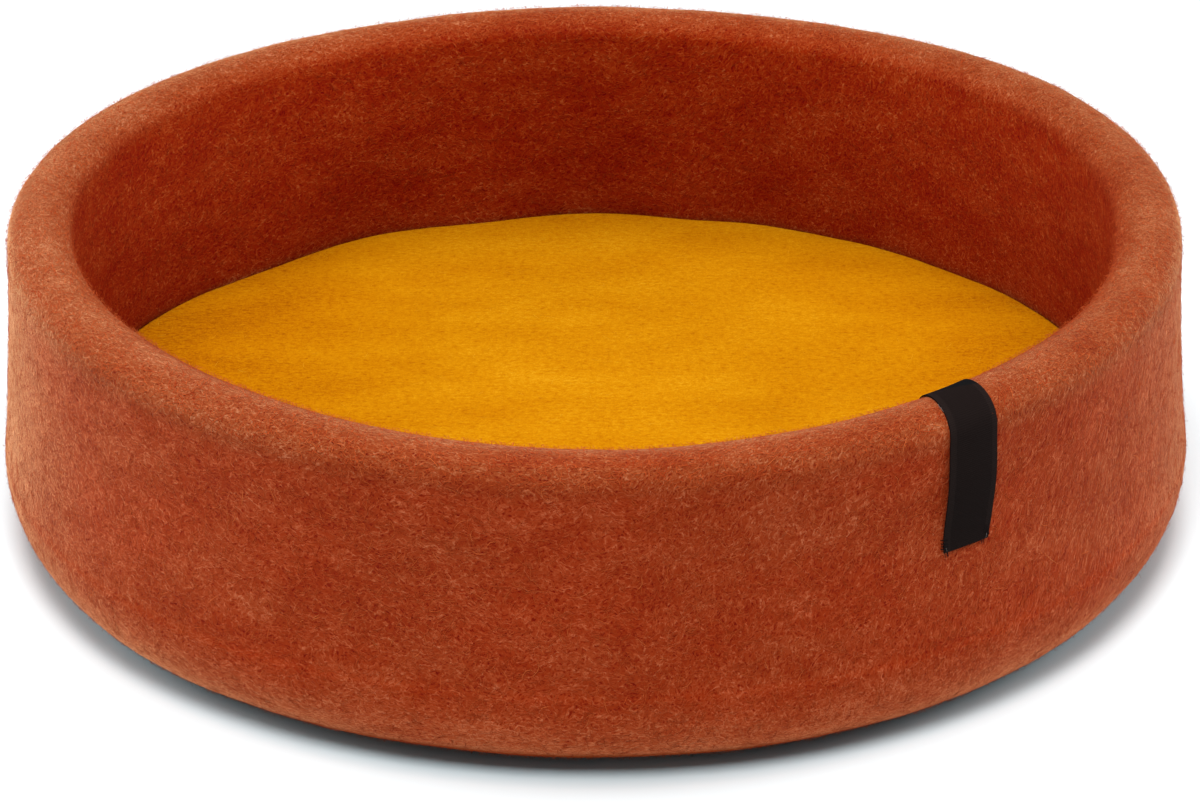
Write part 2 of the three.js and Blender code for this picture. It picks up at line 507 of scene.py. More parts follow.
# The ribbon lies close over the rim and inside, and bulges outside
def labelGap(along):
    s = labelSizes
    free = s["length"] / 2 - s["tightLength"]
    share = clamp((-along - s["tightLength"]) / free)
    return s["gap"] + s["bulge"] * math.sin(math.pi * share) ** 2


def underLabel(point):
    s = labelSizes
    away = (math.atan2(point.y, point.x) - s["middleTurn"]) * basketSizes["neckRadius"]
    left, right = s["pressedAcross"]
    return left < away < right and point.z > s["pressedAbove"]


# A flat grid is bent over the rim and given its thickness
def makeLabel(skin):
    s = labelSizes
    startClean()
    bpy.ops.mesh.primitive_grid_add(x_subdivisions=s["columns"], y_subdivisions=s["rows"], size=1)
    piece = newest("ribbon_label")
    for vertex in piece.data.vertices:
        across, along = vertex.co.x * s["width"], vertex.co.y * s["length"]
        corner = clamp((-along - s["length"] / 2 + s["cornerLength"]) / s["cornerLength"]) ** 2
        if across > 0:
            across *= 1 - 2 * s["pulledIn"] / s["width"] * corner
        place = overWall(wallLine(labelTurn(across, along)), along, labelGap(along) + s["thickness"] / 2)
        near, normal = skin.nearest(place)
        short = s["gap"] + s["thickness"] / 2 - (place - near).dot(normal)
        vertex.co = place + normal * max(0.0, short)
    applyModifier(piece, "SOLIDIFY", thickness=s["thickness"], offset=0.0)
    makeActive(piece)
    bpy.ops.object.mode_set(mode="EDIT")
    bpy.ops.mesh.select_all(action="SELECT")
    bpy.ops.mesh.normals_make_consistent(inside=False)
    bpy.ops.object.mode_set(mode="OBJECT")
    bpy.ops.object.shade_smooth_by_angle(angle=math.radians(s["sharpAngle"]))
    return piece


# Materials. A pair whose name ends in From or Limits holds the two values between which a mask
# goes from 0 to 1.

rustFelt = {
    "outer": [(0.0, "610800"), (0.25, "701400"), (0.5, "812607"), (0.75, "913819"), (1.0, "A55032")],
    "outerDull": [(0.0, "5F0A00"), (0.25, "701803"), (0.5, "7F290A"), (0.75, "8F3D1E"), (1.0, "A25638")],
    # rim: painted shade, darker on the shoulder below the crest, and painted sheen, paler and dustier
    # where fuzz catches light
    "rim": [(0.0, "550C04"), (0.25, "641A06"), (0.5, "742E10"), (0.75, "844324"), (1.0, "9C6244")],
    # hem: painted light, lighter and less saturated low on the hem, where it faces down into shade
    "hem": [(0.0, "711000"), (0.25, "831B02"), (0.5, "952F0C"), (0.75, "A7461F"), (1.0, "BA603A")],
    # inner: painted shade and painted red bounce light, darker and more saturated than the outer face
    "inner": [(0.0, "600100"), (0.25, "6E0900"), (0.5, "7F1D00"), (0.75, "8F330A"), (1.0, "A0522A")],
    "fibres": [(0.0, "7E2206"), (0.4, "903212"), (0.8, "A2471F"), (0.94, "B0582C"), (1.0, "C07442")],
    "roughness": 0.92,
    "gloss": 0.06,
    "sheenTint": "FFC890",
    "sheenRoughness": 0.3,
    "sheen": 0.7,
    "crestSheen": 0.3,  # more of it on the rim
    "rightSheen": -0.35,
    "cloudStretch": (0.5, 0.5, 1.0),
    "cloudScale": 60.0,
    "patchScale": 34.0,
    "patchLimits": (0.375, 0.625),
    "aroundStretch": (0.6, 0.6, 1.0),
    "upwardsLean": (-0.25, -0.43, -0.5),
    "swirlScale": 45.0,
    "swirl": (0.0, 0.0, 15 * mm),
    "wanderScale": 360.0,
    "wander": (2.6 * mm, 2.6 * mm, 2.6 * mm),
    "coarseThreads": (250.0, 28.0, 0.5),  # scale, sharpness, level
    "fineThreads": (480.0, 22.0, 0.47),
    "grainScale": 1200.0,
    "pitLimits": (0.46, 0.26),
    "threadHeight": 0.24,
    "pitHeight": -0.42,
    "cloudTone": 0.5,
    "grainTone": 0.5,
    "hemPaintedLight": 0.25,
    "leftRimPaintedLight": 0.1,
    "bump": (0.5, 0.6 * mm),  # strength, depth
    "innerRadiusFrom": (265.6 * mm, 261.6 * mm),
    "innerHeightFrom": (149 * mm, 138 * mm),
    "rimHeightFrom": (132.5 * mm, 145 * mm),
    "hemHeightFrom": (42 * mm, 14 * mm),
    "rightFrom": (18 * mm, 200 * mm),
    "leftFrom": (-100 * mm, -240 * mm),
    "crestRadiusFrom": (243.5 * mm, 251.5 * mm),
}

mustardFelt = {
    "stops": [(0.0, "884600"), (0.35, "A46300"), (0.62, "B27503"), (0.8, "BD8410"), (1.0, "CC9A28")],
    "fibres": [(0.0, "AA6C00"), (0.6, "BB7D0A"), (1.0, "CE9824")],
    "roughness": 0.9,
    "gloss": 0.02,
    "stretch": (0.5, 1.0, 1.0),
    "cloudScale": 30.0,
    "streakScale": 560.0,
    "grainScale": 1100.0,
    "pitLimits": (0.42, 0.22),
    "tone": -0.38,
    "cloudTone": 0.5,
    "streakTone": 0.6,
    "grainTone": 0.7,
    "pitTone": -0.12,
    # painted shade: the mat darkens towards its left and right sides, measured from middle
    "paintedSideShade": -0.42,
    "middle": 20 * mm,
    "paintedShadeSidesFrom": (90 * mm, 290 * mm),
    "bump": (0.6, 0.5 * mm),
}

blackRibbon = {
    "weave": "110B0A",
    "ribs": "1E1614",
    # painted shade: the ribbon is darker past the crease, where it turns over the rim away from the light
    "creaseShade": "0B0B0C",
    "threads": [(0.0, "0C0A0A"), (0.4, "1A1718"), (0.7, "4A4444"), (1.0, "9C948C")],
    "roughness": 0.75,
    "gloss": 0.02,
    "warp": (14.0, 0.6),  # scale, distortion
    "weft": (9.0, 0.4),
    "weaveShare": 0.6,
    "selvedgeFrom": (0.37, 0.395),  # off the middle line, in widths
    "selvedgeShare": 0.35,
    "selvedgeHeight": 0.6,
    "creaseAlong": 0.565,  # in lengths
    "creaseSlant": 0.07,
    "creaseSharpness": 150.0,
    "bump": (0.5, 0.2 * mm),
}

threadLook = {"roughness": 0.85, "gloss": 0.05}


def addNoise(tree, place, scale, detail):
    inputs = {"Vector": place, "Scale": scale, "Detail": detail}
    return addNode(tree, "ShaderNodeTexNoise", inputs).outputs


# It follows the wool, and takes the radius as its fourth side, for the top of the rim
def addWoolNoise(tree, woolPlace, radius, scale, detail, roughness=0.5):
    inputs = {"Vector": woolPlace, "W": radius, "Scale": scale, "Detail": detail, "Roughness": roughness}
    return addNode(tree, "ShaderNodeTexNoise", inputs, noise_dimensions="4D").outputs["Fac"]


def addBump(tree, shader, height, look):
    strength, depth = look["bump"]
    bump = addNode(tree, "ShaderNodeBump", {"Height": height, "Strength": strength, "Distance": depth})
    tree.links.new(bump.outputs["Normal"], shader.inputs["Normal"])


# Masks that are 1 on a part of the basket, and the distance from the axis
def basketParts(tree, place):
    split = addNode(tree, "ShaderNodeSeparateXYZ", {0: place}).outputs
    flat = addNode(tree, "ShaderNodeCombineXYZ", {"X": split["X"], "Y": split["Y"]}).outputs[0]
    radius = addNode(tree, "ShaderNodeVectorMath", {0: flat}, operation="LENGTH").outputs["Value"]
    nearer = fade(tree, radius, rustFelt["innerRadiusFrom"])
    lower = fade(tree, split["Z"], rustFelt["innerHeightFrom"])
    return {
        "inside": maths(tree, "MULTIPLY", nearer, lower),
        "rim": fade(tree, split["Z"], rustFelt["rimHeightFrom"]),
        "hem": fade(tree, split["Z"], rustFelt["hemHeightFrom"]),
        "right": fade(tree, split["X"], rustFelt["rightFrom"]),
        "left": fade(tree, split["X"], rustFelt["leftFrom"]),
        "outOfCrest": fade(tree, radius, rustFelt["crestRadiusFrom"]),
        "radius": radius,
    }


def shiftPlace(tree, place, noiseColour, amount):
    inputs = {0: noiseColour, 1: (-0.5, -0.5, -0.5)}
    centred = addNode(tree, "ShaderNodeVectorMath", inputs, operation="ADD").outputs[0]
    inputs = {0: centred, 1: amount, 2: place}
    return addNode(tree, "ShaderNodeVectorMath", inputs, operation="MULTIPLY_ADD").outputs[0]


# Thin wavy lines, where a soft noise passes through one value
def threadLines(tree, woolPlace, radius, scale, sharpness, level):
    field = addWoolNoise(tree, woolPlace, radius, scale, 1.5)
    away = maths(tree, "ABSOLUTE", maths(tree, "SUBTRACT", field, level))
    return maths(tree, "MULTIPLY_ADD", away, -sharpness, 1.0, clamp=True)


# The wool runs round the bowl, and steeply up on the right
def woolWay(tree, place, onRight):
    split = addNode(tree, "ShaderNodeSeparateXYZ", {0: place}).outputs
    inputs = {"Vector": place, "Scale": rustFelt["aroundStretch"]}
    around = addNode(tree, "ShaderNodeMapping", inputs).outputs[0]
    inputs = {0: split["Z"], 1: split["Z"], 2: split["Z"]}
    height = addNode(tree, "ShaderNodeCombineXYZ", inputs).outputs[0]
    inputs = {0: height, 1: rustFelt["upwardsLean"], 2: place}
    upwards = addNode(tree, "ShaderNodeVectorMath", inputs, operation="MULTIPLY_ADD").outputs[0]
    inputs = {0: onRight, 4: around, 5: upwards}
    return addNode(tree, "ShaderNodeMix", inputs, data_type="VECTOR").outputs[1]


def makeRustFelt():
    look = rustFelt
    material, tree, shader = newMaterial("rust_felt", look)
    place = addNode(tree, "ShaderNodeTexCoord").outputs["Object"]
    parts = basketParts(tree, place)
    radius = parts["radius"]
    inputs = {"Vector": place, "Scale": look["cloudStretch"]}
    flattened = addNode(tree, "ShaderNodeMapping", inputs).outputs[0]
    clouds = addNoise(tree, flattened, look["cloudScale"], 3.0)["Fac"]
    patches = addNoise(tree, flattened, look["patchScale"], 2.0)["Fac"]
    swirl = addNoise(tree, place, look["swirlScale"], 2.0)["Color"]
    wander = addNoise(tree, place, look["wanderScale"], 2.0)["Color"]
    drifted = shiftPlace(tree, woolWay(tree, place, parts["right"]), swirl, look["swirl"])
    woolPlace = shiftPlace(tree, drifted, wander, look["wander"])
    coarse = threadLines(tree, woolPlace, radius, *look["coarseThreads"])
    fine = threadLines(tree, woolPlace, radius, *look["fineThreads"])
    threads = maths(tree, "MULTIPLY", maths(tree, "ADD", coarse, fine), look["threadHeight"])
    grain = addWoolNoise(tree, woolPlace, radius, look["grainScale"], 2.0, 0.6)
    pits = fade(tree, grain, look["pitLimits"])
    netHeight = maths(tree, "MULTIPLY_ADD", pits, look["pitHeight"], threads)
    tone = maths(tree, "MULTIPLY_ADD", clouds, look["cloudTone"], netHeight)
    tone = maths(tree, "MULTIPLY_ADD", grain, look["grainTone"], tone)
    # Painted light: the tone is raised low on the hem, which faces down into shade
    tone = maths(tree, "MULTIPLY_ADD", parts["hem"], look["hemPaintedLight"], tone)
    # Painted light: the rim is lighter on the left, where more light falls
    leftRim = maths(tree, "MULTIPLY", parts["left"], parts["rim"])
    tone = maths(tree, "MULTIPLY_ADD", leftRim, look["leftRimPaintedLight"], tone)
    dullShare = fade(tree, patches, look["patchLimits"])
    bright, dull = addRamp(tree, tone, look["outer"]), addRamp(tree, tone, look["outerDull"])
    colour = mixColours(tree, dullShare, bright, dull)
    # The rim, hem and inside ramps hold painted light: shade and sheen on the rim, light on the hem,
    # shade and red bounce light inside
    for part, ramp in (("rim", "rim"), ("hem", "hem"), ("inside", "inner")):
        colour = mixColours(tree, parts[part], colour, addRamp(tree, tone, look[ramp]))
    tree.links.new(colour, shader.inputs["Base Color"])
    shader.inputs["Sheen Roughness"].default_value = look["sheenRoughness"]
    shader.inputs["Sheen Tint"].default_value = hexColour(look["sheenTint"])
    crest = maths(tree, "MULTIPLY", parts["rim"], parts["rim"])
    sheen = maths(tree, "MULTIPLY_ADD", crest, look["crestSheen"], look["sheen"])
    sheen = maths(tree, "MULTIPLY_ADD", parts["right"], look["rightSheen"], sheen)
    sheen = maths(tree, "MULTIPLY", sheen, maths(tree, "SUBTRACT", 1.0, parts["inside"]))
    sheen = maths(tree, "MULTIPLY", sheen, maths(tree, "SUBTRACT", 1.0, pits))
    sheen = maths(tree, "MULTIPLY", sheen, parts["outOfCrest"], clamp=True)
    tree.links.new(sheen, shader.inputs["Sheen Weight"])
    addBump(tree, shader, netHeight, look)
    return material


def makeMustardFelt():
    look = mustardFelt
    material, tree, shader = newMaterial("mustard_felt", look)
    place = addNode(tree, "ShaderNodeTexCoord").outputs["Object"]
    stretched = addNode(tree, "ShaderNodeMapping", {"Vector": place, "Scale": look["stretch"]}).outputs[0]
    clouds = addNoise(tree, stretched, look["cloudScale"], 3.0)["Fac"]
    streaks = addNoise(tree, stretched, look["streakScale"], 3.0)["Fac"]
    grain = addNoise(tree, place, look["grainScale"], 2.0)["Fac"]
    pits = fade(tree, streaks, look["pitLimits"])
    # Painted shade: the mat is darker towards its left and right sides, where the walls shade it
    split = addNode(tree, "ShaderNodeSeparateXYZ", {0: place}).outputs
    sideways = maths(tree, "ABSOLUTE", maths(tree, "SUBTRACT", split["X"], look["middle"]))
    paintedShadeShare = fade(tree, sideways, look["paintedShadeSidesFrom"])
    tone = maths(tree, "MULTIPLY_ADD", clouds, look["cloudTone"], look["tone"])
    tone = maths(tree, "MULTIPLY_ADD", streaks, look["streakTone"], tone)
    tone = maths(tree, "MULTIPLY_ADD", grain, look["grainTone"], tone)
    tone = maths(tree, "MULTIPLY_ADD", pits, look["pitTone"], tone)
    tone = maths(tree, "MULTIPLY_ADD", paintedShadeShare, look["paintedSideShade"], tone)
    tree.links.new(addRamp(tree, tone, look["stops"]), shader.inputs["Base Color"])
    addBump(tree, shader, maths(tree, "ADD", streaks, grain), look)
    return material


def addRibs(tree, place, direction, scale, distortion):
    inputs = {"Vector": place, "Scale": scale, "Distortion": distortion}
    return addNode(tree, "ShaderNodeTexWave", inputs, bands_direction=direction).outputs["Fac"]


def makeRibbon():
    look = blackRibbon
    material, tree, shader = newMaterial("black_ribbon", look)
    own = addNode(tree, "ShaderNodeUVMap", uv_map="UVMap").outputs[0]
    square = (1.0, labelSizes["length"] / labelSizes["width"], 1.0)
    evened = addNode(tree, "ShaderNodeMapping", {"Vector": own, "Scale": square}).outputs[0]
    warp = addRibs(tree, evened, "X", *look["warp"])
    weft = addRibs(tree, evened, "Y", *look["weft"])
    weave = maths(tree, "MULTIPLY", warp, weft)
    split = addNode(tree, "ShaderNodeSeparateXYZ", {0: own}).outputs
    fromMiddle = maths(tree, "ABSOLUTE", maths(tree, "SUBTRACT", split["X"], 0.5))
    selvedge = fade(tree, fromMiddle, look["selvedgeFrom"])
    share = maths(tree, "MULTIPLY", weave, look["weaveShare"])
    share = maths(tree, "MULTIPLY_ADD", selvedge, look["selvedgeShare"], share, clamp=True)
    woven = mixColours(tree, share, hexColour(look["weave"]), hexColour(look["ribs"]))
    # Painted shade past the crease, where the ribbon turns inside over the rim
    pastCrease = maths(tree, "SUBTRACT", split["Y"], look["creaseAlong"])
    pastCrease = maths(tree, "MULTIPLY_ADD", split["X"], look["creaseSlant"], pastCrease)
    creaseShadeShare = maths(tree, "MULTIPLY", pastCrease, look["creaseSharpness"], clamp=True)
    colour = mixColours(tree, creaseShadeShare, woven, hexColour(look["creaseShade"]))
    tree.links.new(colour, shader.inputs["Base Color"])
    addBump(tree, shader, maths(tree, "MULTIPLY_ADD", selvedge, look["selvedgeHeight"], weave), look)
    return material


# A thread's tint lies along U of its own map
def makeThreadMaterial(name, stops):
    material, tree, shader = newMaterial(name, threadLook)
    own = addNode(tree, "ShaderNodeUVMap", uv_map="OFBake").outputs[0]
    tintShare = addNode(tree, "ShaderNodeSeparateXYZ", {0: own}).outputs["X"]
    tree.links.new(addRamp(tree, tintShare, stops), shader.inputs["Base Color"])
    return material


# Loose fibres

wallFuzz = {
    "pieces": 4,
    "seed": 11,  # of the first piece
    "count": 7600,  # in each piece
    "segments": 4,
    "length": (3 * mm, 9.5 * mm),
    "radius": (0.07 * mm, 0.15 * mm),
    "curl": 330.0,  # radians a metre
    "lift": (0.05 * mm, 0.4 * mm),
    "loose": 0.5 * mm,
    "looseShare": 0.4,
    "flow": 0.8,  # how far fibres turn away from the way the wool was laid, in radians
    "tints": (0.1, 0.88),
    "shadedInnerTints": (0.0, 0.4),
}

wallHairs = {
    "seed": 31,
    "count": 180,
    "segments": 8,
    "length": (7 * mm, 26 * mm),
    "radius": (0.04 * mm, 0.08 * mm),
    "curl": 120.0,
    "lift": (0.4 * mm, 1.2 * mm),
    "loose": 1.2 * mm,
    "looseShare": 0.7,
    "flow": 3.0,
    "tints": (0.6, 1.0),
    "shadedInnerTints": (0.4, 0.9),
}

wallNap = {
    "seed": 21,
    "count": 12000,
    "segments": 2,
    "length": (0.8 * mm, 3 * mm),
    "radius": (0.06 * mm, 0.12 * mm),
    "lift": (0.3 * mm, 1.5 * mm),
    "flow": 1.5,
    "tints": (0.4, 1.0),
}

rimNap = {
    "seed": 22,
    "count": 24000,
    "segments": 2,
    "length": (1.2 * mm, 4.5 * mm),
    "radius": (0.06 * mm, 0.13 * mm),
    "lift": (0.4 * mm, 2.0 * mm),
    "flow": 1.5,
    "tints": (0.4, 1.0),
}

matFuzz = {
    "seed": 41,
    "count": 3400,
    "segments": 4,
    "length": (3 * mm, 8 * mm),
    "radius": (0.05 * mm, 0.09 * mm),
    "curl": 240.0,
    "lift": (0.02 * mm, 0.12 * mm),
    "loose": 0.3 * mm,
    "looseShare": 0.3,
    "flow": 0.7,
    "tints": (0.0, 1.0),
}

# Where fibres grow: heights and radii
fibrePlaces = {
    "baseTop": 1.2 * mm,
    "hemTop": 14 * mm,
    "floorTop": 21.5 * mm,
    "matCovers": 31 * mm,
    "rimFoot": 136 * mm,
    "innerTop": 142 * mm,
    "fadeHeight": 6 * mm,
    "outerRadius": 262 * mm,
    "innerRadius": 263.5 * mm,
    "innerShare": 0.5,
    "hemShare": 3.0,  # how many more of them on the hem
    "matTop": 30.5 * mm,
    "matEdge": 250 * mm,
    "edgeShare": 12.0,
}

fibreHabits = {
    "rootRise": 0.2,  # how high a fibre starts, as a share of its lift
    "curlSpread": 0.5,
    "curlWobble": 0.4,
    "lowestRise": 0.25,  # of the lift, where a fibre lies flattest
    "archReach": 1.1,
    "napBend": (0.35, 0.75),  # how far along and how high a short fibre bends
    "pressedRise": 0.25 * mm,  # under the label
    "pressedNap": 0.2 * mm,
    "floorGap": 0.2 * mm,
    "tintSpread": 0.8,
    "liftedPaintedLight": 0.12,
    "flatness": 0.35,
}


class Skin:
    def __init__(self, piece):
        mesh = piece.data
        mesh.calc_loop_triangles()
        corners = np.empty(len(mesh.loop_triangles) * 3, np.int32)
        mesh.loop_triangles.foreach_get("vertices", corners)
        places = np.empty(len(mesh.vertices) * 3, np.float32)
        mesh.vertices.foreach_get("co", places)
        self.corners = places.reshape(-1, 3)[corners.reshape(-1, 3)].astype(float)
        edges = self.corners[:, 1:] - self.corners[:, :1]
        self.areas = np.linalg.norm(np.cross(edges[:, 0], edges[:, 1]), axis=1) / 2
        self.tree = BVHTree.FromObject(piece, bpy.context.evaluated_depsgraph_get())

    def scatter(self, count, density, chance):
        weights = self.areas * density(self.corners.mean(1))
        faces = np.searchsorted(np.cumsum(weights) / weights.sum(), chance.random(count))
        shares = np.sort(chance.random((count, 2)), axis=1)
        a, b = shares[:, :1], shares[:, 1:]
        three = self.corners[faces]
        return three[:, 0] * a + three[:, 1] * (b - a) + three[:, 2] * (1 - b)

    def nearest(self, point):
        place, normal, _, _ = self.tree.find_nearest(point)
        return place, normal


# The way in which the wool was laid, as an angle to the way round the bowl. Slow swirls: size,
# lobes round the bowl, change with the height, shift. Patches: size, change with x and y, shift.
woolSwirls = [(0.9, 3, 30.0, 0.0), (0.63, 7, -50.0, 1.3)]
woolPatches = (0.5, 40.0, 34.0, 2.0)


def woolFlow(place):
    turn = math.atan2(place.y, place.x)
    angle = 0.0
    for size, lobes, climb, shift in woolSwirls:
        angle += size * math.sin(lobes * turn + place.z * climb + shift)
    size, alongX, alongY, shift = woolPatches
    return angle + size * math.sin(place.x * alongX + shift) * math.sin(place.y * alongY)


# A direction along the skin, at an angle to the way round the bowl
def headingAt(place, normal, angle):
    side = Vector((-place.y, place.x, 1e-6)).cross(normal).cross(normal).normalized()
    return side * math.cos(angle) + normal.cross(side) * math.sin(angle)


# Walks over the skin from a point and gives the points of one fibre
def layFibre(skin, start, chance, sizes):
    habits = fibreHabits
    place, normal = skin.nearest(Vector(start))
    angle = woolFlow(place) + chance.normal(0, sizes["flow"]) + math.pi * chance.integers(2)
    heading = headingAt(place, normal, angle)
    segments = sizes["segments"]
    step = chance.uniform(*sizes["length"]) / segments
    curl = chance.normal(0, habits["curlSpread"]) * sizes["curl"] * step
    height = chance.uniform(*sizes["lift"])
    lifting = 0.0
    if chance.random() < sizes["looseShare"]:
        lifting = min(chance.exponential(sizes["loose"]), 4 * sizes["loose"])
    points = [place + normal * (height * habits["rootRise"])]
    tops = [normal]
    for i in range(1, segments + 1):
        wobble = 1 + chance.normal(0, habits["curlWobble"])
        turned = Matrix.Rotation(curl * wobble, 3, normal) @ heading
        place, normal = skin.nearest(place + turned * step)
        heading = (turned - normal * turned.dot(normal)).normalized()
        share = i / segments
        arch = max(0.0, math.sin(math.pi * min(1, share * habits["archReach"])))
        rise = height * mix(habits["lowestRise"], 1.0, arch) + lifting * share**2
        if underLabel(place):
            rise = min(rise, habits["pressedRise"])
        point = place + normal * rise
        point.z = max(point.z, habits["floorGap"])
        points.append(point)
        tops.append(normal)
    return points, tops, lifting / sizes["loose"]


# A short fibre that stands up from the felt and leans over
def raiseFibre(skin, start, chance, sizes):
    habits = fibreHabits
    place, normal = skin.nearest(Vector(start))
    heading = headingAt(place, normal, woolFlow(place) + chance.normal(0, sizes["flow"]))
    length = chance.uniform(*sizes["length"])
    height = chance.uniform(*sizes["lift"])
    if underLabel(place):
        height = min(height, habits["pressedNap"])
    bendAlong, bendUp = habits["napBend"]
    middle = place + heading * (length * bendAlong) + normal * (height * bendUp)
    tip = place + heading * length + normal * height
    points = [place, middle, tip]
    for point in points:
        point.z = max(point.z, habits["floorGap"])
    return points, [normal] * 3, height / sizes["lift"][1]


# Joins threads into one mesh: each is a closed three-sided tube, one ridge of it outwards, that
# thins out to both ends. The tint of a thread is U of its map, the way along it is V. Fibres are
# too fine to show a lit and a dark side, so they are flat and shaded like the cloth under them.
def makeThreads(name, lines, thickness, tints, height=1.0):
    vertices, faces, spots, shading = [], [], [], []
    for (points, tops), radius, tint in zip(lines, thickness, tints):
        segments = len(points) - 1
        start = len(vertices)
        vertices.append(points[0])
        spots.append((tint, 0.02))
        shading.append(tops[0])
        for i in range(1, segments):
            along = (points[i + 1] - points[i - 1]).normalized()
            other = along.cross(tops[i]).normalized()
            up = other.cross(along)
            thick = radius * (0.75 + 0.25 * math.sin(math.pi * i / segments))
            for corner in range(3):
                angle = math.tau * corner / 3
                raised = up * (height * thick * math.cos(angle))
                vertices.append(points[i] + raised + other * (thick * math.sin(angle)))
                spots.append((tint, 0.02 + 0.96 * i / segments))
                shading.append(tops[i])
        vertices.append(points[-1])
        spots.append((tint, 0.98))
        shading.append(tops[-1])
        last = len(vertices) - 1
        for corner in range(3):
            after = (corner + 1) % 3
            faces.append((start, start + 1 + after, start + 1 + corner))
            for i in range(segments - 2):
                low = start + 1 + 3 * i
                faces.append((low + corner, low + after, low + 3 + after, low + 3 + corner))
            low = start + 1 + 3 * (segments - 2)
            faces.append((low + corner, low + after, last))
    mesh = bpy.data.meshes.new(name)
    mesh.from_pydata([tuple(v) for v in vertices], [], faces)
    threads = bpy.data.objects.new(name, mesh)
    bpy.context.scene.collection.objects.link(threads)
    corners = np.empty(len(mesh.loops), np.int32)
    mesh.loops.foreach_get("vertex_index", corners)
    own = mesh.uv_layers.new(name="OFBake")
    own.uv.foreach_set("vector", np.array(spots, np.float32)[corners].ravel())
    smooth(threads)
    mesh.normals_split_custom_set_from_vertices([tuple(n) for n in shading])
    return threads


def insideWall(point):
    spots = fibrePlaces
    near = math.hypot(point[0], point[1]) < spots["innerRadius"]
    return near and spots["floorTop"] < point[2] < spots["innerTop"]


def growFibres(name, skin, density, seed, sizes):
    chance = np.random.default_rng(seed)
    grow = raiseFibre if sizes["segments"] == 2 else layFibre
    lines, thickness, tints = [], [], []
    for start in skin.scatter(sizes["count"], density, chance):
        points, tops, looseness = grow(skin, start, chance, sizes)
        lines.append((points, tops))
        thickness.append(chance.uniform(*sizes["radius"]))
        # Painted shade: fibres on the inner wall get darker tints
        low, high = sizes["shadedInnerTints" if "shadedInnerTints" in sizes and insideWall(start) else "tints"]
        # Painted light: lifted fibres and taller nap get lighter tints, as if they catch more light
        liftLight = fibreHabits["liftedPaintedLight"] * looseness
        tints.append(min(high, chance.uniform(low, high) * fibreHabits["tintSpread"] + liftLight))
    return makeThreads(name, lines, thickness, tints, fibreHabits["flatness"])


def wallDensity(centres):
    spots = fibrePlaces
    radius = np.hypot(centres[:, 0], centres[:, 1])
    height = centres[:, 2]
    inside = (radius < spots["innerRadius"]) & (height > spots["floorTop"])
    share = np.where(inside, spots["innerShare"], 1.0)
    share[inside & (height < spots["matCovers"])] = 0.0
    share[height < spots["baseTop"]] = 0.0
    return share


# Short upright fibres stand on the outer face, more of them low on the hem, and thickly on the rim
def wallNapDensity(centres):
    spots = fibrePlaces
    radius = np.hypot(centres[:, 0], centres[:, 1])
    height = centres[:, 2]
    share = 1.0 + spots["hemShare"] * np.clip((spots["hemTop"] - height) / spots["fadeHeight"], 0, 1)
    share[(radius < spots["outerRadius"]) & (height > spots["floorTop"])] = 0.0
    share[height < spots["baseTop"]] = 0.0
    return share


def rimNapDensity(centres):
    return np.clip((centres[:, 2] - fibrePlaces["rimFoot"]) / fibrePlaces["fadeHeight"], 0, 1)


def matDensity(centres):
    spots = fibrePlaces
    atEdge = np.hypot(centres[:, 0], centres[:, 1]) > spots["matEdge"]
    onTop = centres[:, 2] > spots["matTop"]
    return np.where(onTop, np.where(atEdge, spots["edgeShare"], 1.0), 0.0)


# Stitches

# Places without mm are in millimetres. A path runs (outwards from the edge, along the label, up
# from its face).
stitchSizes = {
    "seed": 5,
    "tacks": 4,
    "firstTack": 1.2,
    "tackPitch": 1.5,
    "tackSpread": 0.3,
    "tackPath": [
        (-2.4, -0.3, -0.2), (-1.9, 0, 0.25), (-0.8, 0.1, 0.35),
        (0.3, 0.3, 0.15), (1.0, 0.4, -0.5), (1.6, 0.5, -1.6),
    ],
    "tackRadius": 0.24 * mm,
    "ends": 3,
    "endRange": (0.4, 3.6),
    "endDroop": (2.0, 3.4),
    "endLean": (-0.6, 0.6),
    "endRadius": 0.14 * mm,
    "greyPath": [(-1.6, 0.2, 0.1), (-1.2, 1.0, 0.4), (-0.9, 2.0, 0.35), (-0.8, 2.8, 0)],
    "greyRadius": 0.13 * mm,
    "greyTint": 0.75,
    "looseThreads": [  # side, where it starts, length, how far it bows out, tint
        (-1, -3, 4, 0.6, 0.75),
        (-1, -5, 3.5, 0.3, 0.75),
        (1, -8, 4, 0.4, 0.6),
        (1, -11, 3, 0.3, 0.6),
    ],
    "looseSteps": 5,
    "looseRadius": 0.1 * mm,
}


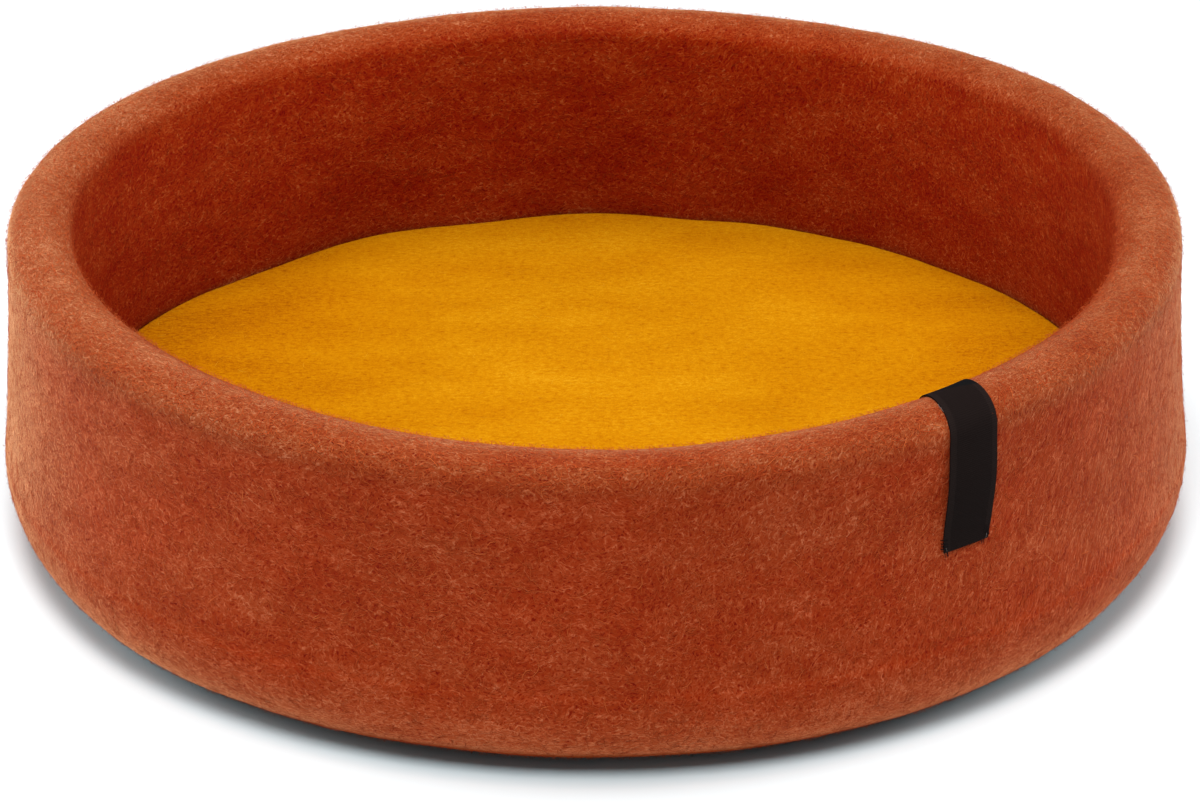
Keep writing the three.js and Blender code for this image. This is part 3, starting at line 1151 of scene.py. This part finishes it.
# Black tack stitches over both edges of the label's outer end, their loose ends, and a few grey
# threads that have worked loose from its edges
def makeStitches():
    s = stitchSizes
    ribbon = labelSizes
    chance = np.random.default_rng(s["seed"])
    lines, thickness, tints = [], [], []
    half = ribbon["width"] / 2
    end = -ribbon["length"] / 2
    face = ribbon["gap"] + ribbon["thickness"]

    def thread(steps, radius, tint):
        points, tops = [], []
        for across, along, off in steps:
            line = wallLine(labelTurn(across, along))
            points.append(overWall(line, along, off))
            tops.append((overWall(line, along, off + 1 * mm) - points[-1]).normalized())
        lines.append((points, tops))
        thickness.append(radius)
        tints.append(tint)

    def placed(path, edge, side, along):
        return [(edge + side * out * mm, along + on * mm, face + up * mm) for out, on, up in path]

    for side in (-1, 1):
        edge = side * (half - (ribbon["pulledIn"] if side > 0 else 0.0))
        for i in range(s["tacks"]):
            spread = chance.uniform(-s["tackSpread"], s["tackSpread"])
            along = end + (s["firstTack"] + s["tackPitch"] * i + spread) * mm
            steps = placed(s["tackPath"], edge, side, along)
            thread(steps, s["tackRadius"], chance.uniform(0.0, 0.2))
        for i in range(s["ends"]):
            across = edge - side * chance.uniform(*s["endRange"]) * mm
            droop = chance.uniform(*s["endDroop"]) * mm
            lean = chance.uniform(*s["endLean"]) * mm
            steps = [
                (across, end + 1.5 * mm, ribbon["gap"]),
                (across + lean * 0.3, end, ribbon["gap"] + 0.5 * mm),
                (across + lean * 0.7, end - droop * 0.6, 0.8 * mm),
                (across + lean, end - droop, 0.5 * mm),
            ]
            thread(steps, s["endRadius"], chance.uniform(0.0, 0.35))
        thread(placed(s["greyPath"], edge, side, end), s["greyRadius"], s["greyTint"])
    for side, first, length, bow, tint in s["looseThreads"]:
        steps = []
        for i in range(s["looseSteps"] + 1):
            share = i / s["looseSteps"]
            along = (first - length * share) * mm
            bowed = half + bow * mm * math.sin(math.pi * share) - s["looseRadius"]
            steps.append((side * bowed, along, labelGap(along) + ribbon["thickness"] * 0.6))
        thread(steps, s["looseRadius"], tint)
    return makeThreads("label_threads", lines, thickness, tints)


addCamera()
addStudio()
say("camera and studio are set")

rust = makeRustFelt()
mustard = makeMustardFelt()
ribbon = makeRibbon()
rustThread = makeThreadMaterial("rust_fibres", rustFelt["fibres"])
mustardThread = makeThreadMaterial("mustard_fibres", mustardFelt["fibres"])
blackThread = makeThreadMaterial("label_thread", blackRibbon["threads"])

basket = makeBasket()
basket.data.materials.append(rust)
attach(basket, "root")
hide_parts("basket")
basketSkin = Skin(basket)
say("basket is felted")

mat = makeMat()
mat.data.materials.append(mustard)
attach(mat, "root")
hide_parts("mat")
matSkin = Skin(mat)
say("mat is laid")

label = makeLabel(basketSkin)
label.data.materials.append(ribbon)
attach(label, "root")
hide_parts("label")
stitches = makeStitches()
stitches.data.materials.append(blackThread)
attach(stitches, "root")
say("label is folded over the rim")

for number in range(wallFuzz["pieces"]):
    name = f"wall_fuzz_{number + 1}"
    fuzz = growFibres(name, basketSkin, wallDensity, wallFuzz["seed"] + number, wallFuzz)
    fuzz.data.materials.append(rustThread)
    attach(fuzz, "root")
outerNap = growFibres("wall_nap", basketSkin, wallNapDensity, wallNap["seed"], wallNap)
topNap = growFibres("rim_nap", basketSkin, rimNapDensity, rimNap["seed"], rimNap)
for upright in (outerNap, topNap):
    upright.data.materials.append(rustThread)
    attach(upright, "root")
hairs = growFibres("wall_hairs", basketSkin, wallDensity, wallHairs["seed"], wallHairs)
hairs.data.materials.append(rustThread)
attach(hairs, "root")
nap = growFibres("mat_fuzz", matSkin, matDensity, matFuzz["seed"], matFuzz)
nap.data.materials.append(mustardThread)
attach(nap, "root")
say("fibres are laid")
